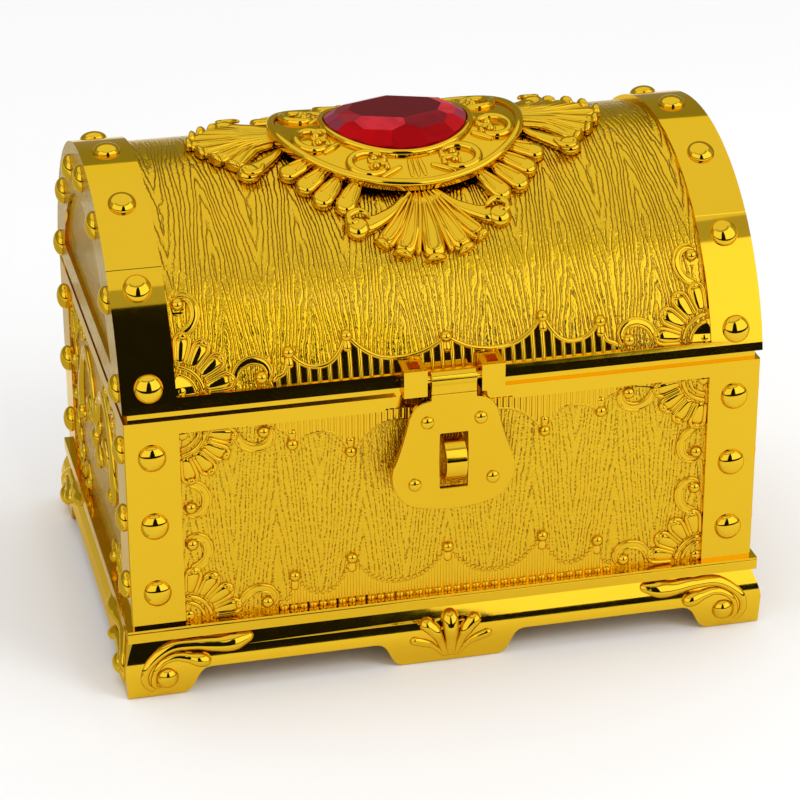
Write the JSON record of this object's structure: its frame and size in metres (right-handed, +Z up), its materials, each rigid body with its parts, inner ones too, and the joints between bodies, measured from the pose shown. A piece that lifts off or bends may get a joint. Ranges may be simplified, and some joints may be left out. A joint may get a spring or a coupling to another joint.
{
  "type": "treasure chest box",
  "caption": "Treasure-chest keepsake box with a hinged barrel lid, a hasp over a staple, dome studs, a footed plinth and a gem set in a leafy crest.",
  "frame": {"origin": "middle of the footprint, on the plane the feet stand on", "axes": "+X along the chest to its right end as seen from the front, +Y from the hasp to the rear hinges, +Z up"},
  "size_m": [0.169, 0.1255, 0.1277],
  "materials": {
    "gold_box": "mirror-bright gold metallised, moulded wood grain",
    "gold_lid": "mirror-bright gold metallised, moulded wood grain",
    "gold_fitting": "mirror-bright gold metallised, smooth",
    "gold_stud": "mirror-bright gold metallised, smooth",
    "gold_crest": "mirror-bright gold metallised, smooth",
    "red_gem": "polished, flat-cut, foiled back",
    "steel": "plain drawn wire"
  },
  "bodies": {
    "chest": {"box_shell": "gold_box", "plinth": "gold_box", "plinth_screws": "steel", "lock_staple": "gold_fitting", "studs_box_front": "gold_stud", "studs_box_back": "gold_stud", "studs_box_left": "gold_stud", "studs_box_right": "gold_stud", "hinge_pin_left": "steel", "hinge_pin_right": "steel"},
    "lid": {"lid_shell": "gold_lid", "crest_leaves": "gold_crest", "medallion": "gold_crest", "gem": "red_gem", "crest_push_nuts": "steel", "studs_strap_left": "gold_stud", "studs_strap_right": "gold_stud", "studs_end_left": "gold_stud", "studs_end_right": "gold_stud", "hasp_pin": "gold_fitting"},
    "hasp": {"hasp_plate": "gold_fitting", "hasp_rivets": "gold_stud"}
  },
  "joints": [
    {"name": "lid_hinge", "type": "hinge", "parent": "chest", "child": "lid", "pos_m": [0, 0.0585, 0.0748], "axis": [-1, 0, 0], "range_deg": [0, 105]},
    {"name": "hasp_swing", "type": "hinge", "parent": "lid", "child": "hasp", "pos_m": [0, -0.0584, 0.0785], "axis": [-1, 0, 0], "range_deg": [0, 165]}
  ]
}
